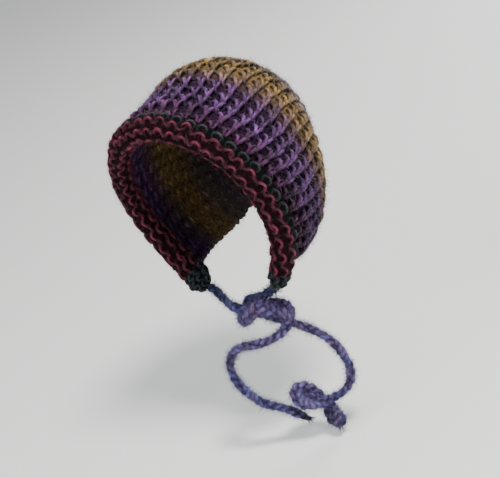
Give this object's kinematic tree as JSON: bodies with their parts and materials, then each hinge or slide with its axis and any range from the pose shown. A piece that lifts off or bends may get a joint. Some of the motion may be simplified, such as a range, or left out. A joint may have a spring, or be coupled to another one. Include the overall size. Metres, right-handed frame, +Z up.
{
  "type": "baby hat",
  "caption": "Knitted baby bonnet with a ribbed crown, an outward rolled brim round the face and cord ties in a half knot under the chin.",
  "frame": {"origin": "the highest point inside the crown, where the top of a head meets the knitting", "axes": "+Z up through the top of the crown, -Y out of the face opening, +X to the wearer's left"},
  "size_m": [0.1192, 0.1054, 0.2096],
  "materials": {
    "crown_yarn": "ribbed knitting in self-striping wool, purple to brown and grey",
    "brim_yarn": "purl side of rolled knitting, burgundy wool with a dark teal edge",
    "corner_yarn": "gathered knitting, near-black teal wool",
    "tie_yarn": "knitted cord, blue-violet fuzzy wool"
  },
  "bodies": {
    "root": {"crown": "crown_yarn", "brim_roll": "brim_yarn", "corner_left": "corner_yarn", "corner_right": "corner_yarn", "tie_left": "tie_yarn", "tie_right": "tie_yarn"}
  },
  "joints": []
}
